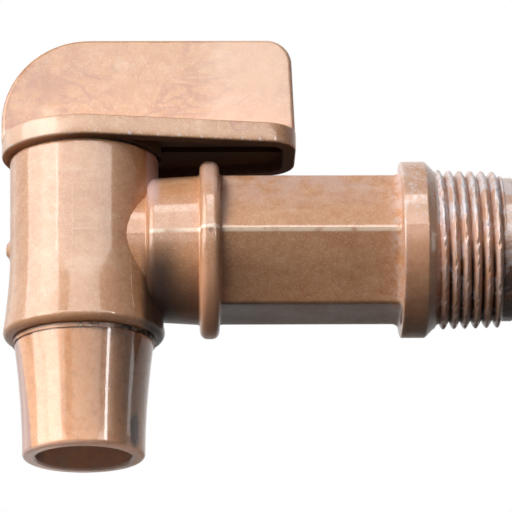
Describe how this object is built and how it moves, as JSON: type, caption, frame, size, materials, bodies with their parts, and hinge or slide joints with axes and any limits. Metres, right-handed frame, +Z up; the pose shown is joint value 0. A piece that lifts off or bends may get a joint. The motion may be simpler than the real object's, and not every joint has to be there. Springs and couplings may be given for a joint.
{
  "type": "barrel tap",
  "caption": "Quarter-turn barrel tap with a finned handle on a plate, a tapered spout and a hexagonal inlet tube that ends in a male taper thread.",
  "frame": {"origin": "on the inlet tube's axis, at the collar's face where the male thread starts", "axes": "+X out of the thread into the drum, +Z up along the valve's axis, away from the spout"},
  "size_m": [0.0857, 0.0298, 0.0725],
  "materials": {
    "body_plastic": "moulded, copper-pigmented, satin",
    "spout_plastic": "moulded, copper-pigmented, glossy",
    "handle_plastic": "moulded, copper-pigmented, swirled, satin",
    "washer_plastic": "natural, unpigmented",
    "seal_rubber": "moulded"
  },
  "bodies": {
    "body": {"tap_body": "body_plastic", "thrust_washer": "washer_plastic"},
    "turning_plug": {"spout_plug": "spout_plastic", "handle": "handle_plastic", "upper_seal_ring": "seal_rubber", "lower_seal_ring": "seal_rubber"}
  },
  "joints": [
    {"name": "handle_turn", "type": "hinge", "parent": "body", "child": "turning_plug", "pos_m": [-0.0584, 0, 0], "axis": [0, 0, 1], "range_deg": [0, 90]}
  ]
}
